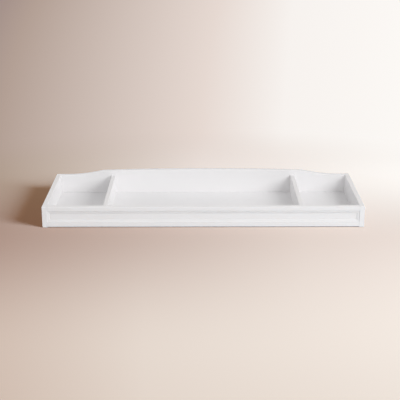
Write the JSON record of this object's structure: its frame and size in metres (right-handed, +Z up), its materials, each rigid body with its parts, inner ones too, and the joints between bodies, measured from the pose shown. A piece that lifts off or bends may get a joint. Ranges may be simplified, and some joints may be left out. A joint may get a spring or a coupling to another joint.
{
  "type": "changing table topper",
  "caption": "White painted wooden changing tray with a pad bay between two side bays, a framed front and a back that rises to a low crown.",
  "frame": {"origin": "on the surface that the tray stands on, under the middle of the whole part, with the feet of the brackets behind the back counted in", "axes": "+X to the right along the tray's length, seen from the front, +Y from the front to the back, +Z up"},
  "size_m": [1.372, 0.5024, 0.12],
  "materials": {
    "white_painted_wood": "satin white paint, smooth, with a faint trace of the brush and softened edges",
    "bare_beech": "bare turned beech with fine straight grain",
    "zinc_plated_steel": "bright zinc plating, lightly brushed",
    "clear_rubber": "matte milky rubber"
  },
  "bodies": {
    "root": {"left_end_panel": "white_painted_wood", "right_end_panel": "white_painted_wood", "back_panel": "white_painted_wood", "front_top_rail": "white_painted_wood", "front_bottom_rail": "white_painted_wood", "front_panel": "white_painted_wood", "front_bead_top": "white_painted_wood", "front_bead_bottom": "white_painted_wood", "front_bead_left": "white_painted_wood", "front_bead_right": "white_painted_wood", "left_divider": "white_painted_wood", "right_divider": "white_painted_wood", "bottom_panel": "white_painted_wood", "left_bracket": "zinc_plated_steel", "right_bracket": "zinc_plated_steel", "left_front_upper_dowel": "bare_beech", "right_front_upper_dowel": "bare_beech", "left_front_lower_dowel": "bare_beech", "right_front_lower_dowel": "bare_beech", "left_divider_front_dowel": "bare_beech", "right_divider_front_dowel": "bare_beech", "left_end_back_dowel": "bare_beech", "right_end_back_dowel": "bare_beech", "left_divider_back_dowel": "bare_beech", "right_divider_back_dowel": "bare_beech", "left_end_lower_screw": "zinc_plated_steel", "left_end_upper_screw": "zinc_plated_steel", "right_end_lower_screw": "zinc_plated_steel", "right_end_upper_screw": "zinc_plated_steel", "left_divider_lower_screw": "zinc_plated_steel", "left_divider_upper_screw": "zinc_plated_steel", "right_divider_lower_screw": "zinc_plated_steel", "right_divider_upper_screw": "zinc_plated_steel", "bottom_front_screw_1": "zinc_plated_steel", "bottom_front_screw_2": "zinc_plated_steel", "bottom_front_screw_3": "zinc_plated_steel", "bottom_back_screw_1": "zinc_plated_steel", "bottom_back_screw_2": "zinc_plated_steel", "bottom_back_screw_3": "zinc_plated_steel", "left_bottom_screw": "zinc_plated_steel", "right_bottom_screw": "zinc_plated_steel", "left_divider_front_bottom_screw": "zinc_plated_steel", "left_divider_back_bottom_screw": "zinc_plated_steel", "right_divider_front_bottom_screw": "zinc_plated_steel", "right_divider_back_bottom_screw": "zinc_plated_steel", "left_bracket_lower_screw": "zinc_plated_steel", "left_bracket_upper_screw": "zinc_plated_steel", "right_bracket_lower_screw": "zinc_plated_steel", "right_bracket_upper_screw": "zinc_plated_steel", "underside_pad_1": "clear_rubber", "underside_pad_2": "clear_rubber", "underside_pad_3": "clear_rubber", "underside_pad_4": "clear_rubber", "underside_pad_5": "clear_rubber", "underside_pad_6": "clear_rubber"}
  },
  "joints": []
}
